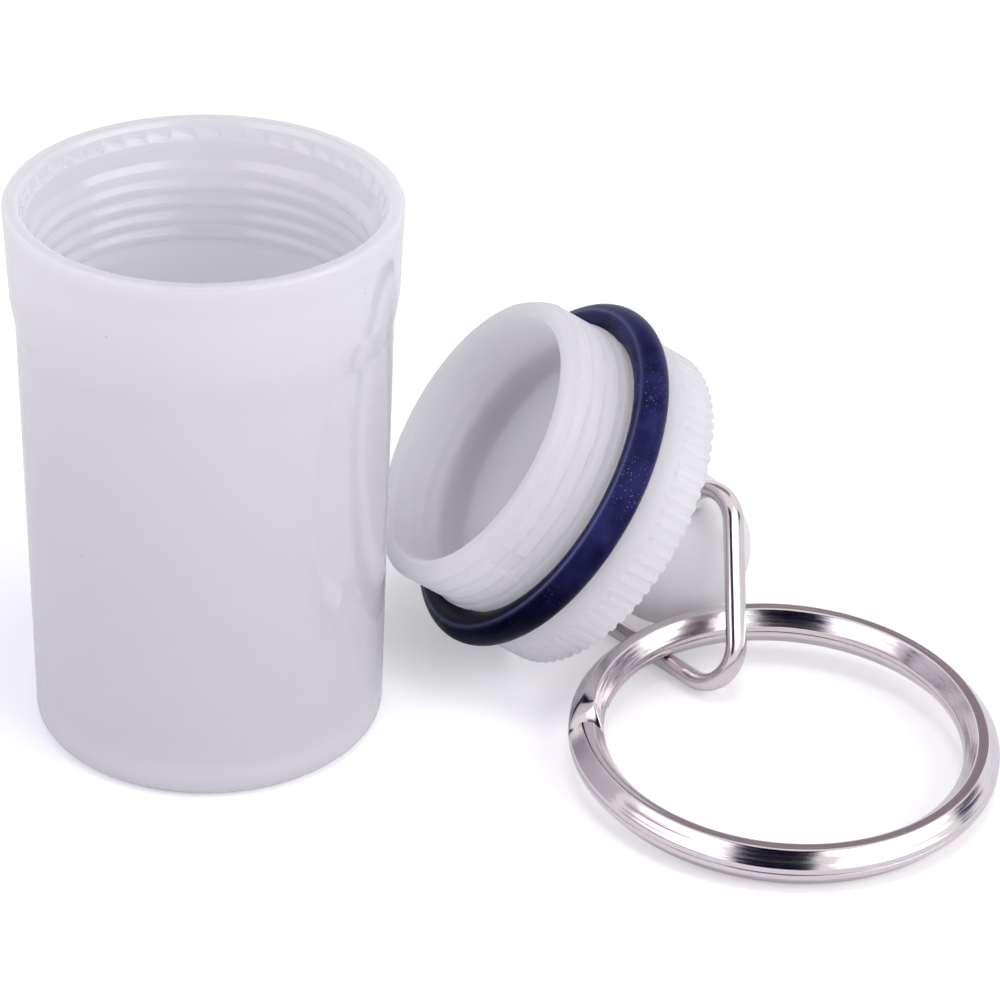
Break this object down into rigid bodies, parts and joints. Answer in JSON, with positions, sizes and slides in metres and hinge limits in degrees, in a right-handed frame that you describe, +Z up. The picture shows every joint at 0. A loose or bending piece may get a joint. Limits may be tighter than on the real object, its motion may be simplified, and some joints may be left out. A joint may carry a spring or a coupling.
{
  "type": "pill fob keychain",
  "caption": "Small screw-top pill canister with its knurled cap taken off and lying beside it; a triangular wire link and a split key ring hang from the cap's boss.",
  "frame": {"origin": "centre of the canister's base, on the floor", "axes": "+Z up the canister to its mouth, +X towards the cap and rings, +Y away from the viewer"},
  "size_m": [0.0694, 0.0449, 0.04],
  "materials": {
    "canister": "pale lilac, slightly translucent, smooth moulded",
    "cap": "pale lilac, satin moulded",
    "o_ring": "dark navy, satin",
    "wire_link": "bright nickel plate",
    "split_ring": "bright nickel plate with fine drawn lines"
  },
  "bodies": {
    "canister": {"canister": "canister"},
    "cap": {"cap": "cap", "o_ring": "o_ring"},
    "wire_link": {"wire_link": "wire_link"},
    "split_ring": {"split_ring": "split_ring"}
  },
  "joints": [
    {"name": "cap_lift", "type": "slide", "parent": "canister", "child": "cap", "axis": [0, 0, 1], "range_m": [0, 0.05]},
    {"name": "link_swing", "type": "hinge", "parent": "cap", "child": "wire_link", "pos_m": [0.03158, 0.01273, 0.00779], "axis": [0.6051, -0.132, 0.7851], "range_deg": [-3, 52]},
    {"name": "ring_swing", "type": "hinge", "parent": "wire_link", "child": "split_ring", "pos_m": [0.03564, 0.00614, 0.00605], "axis": [-0.9711, 0.233, -0.052], "range_deg": [-2.3, 39.5]}
  ],
  "couplings": [
    {"joint": "ring_swing", "follows": "link_swing", "ratio": 0.759}
  ]
}
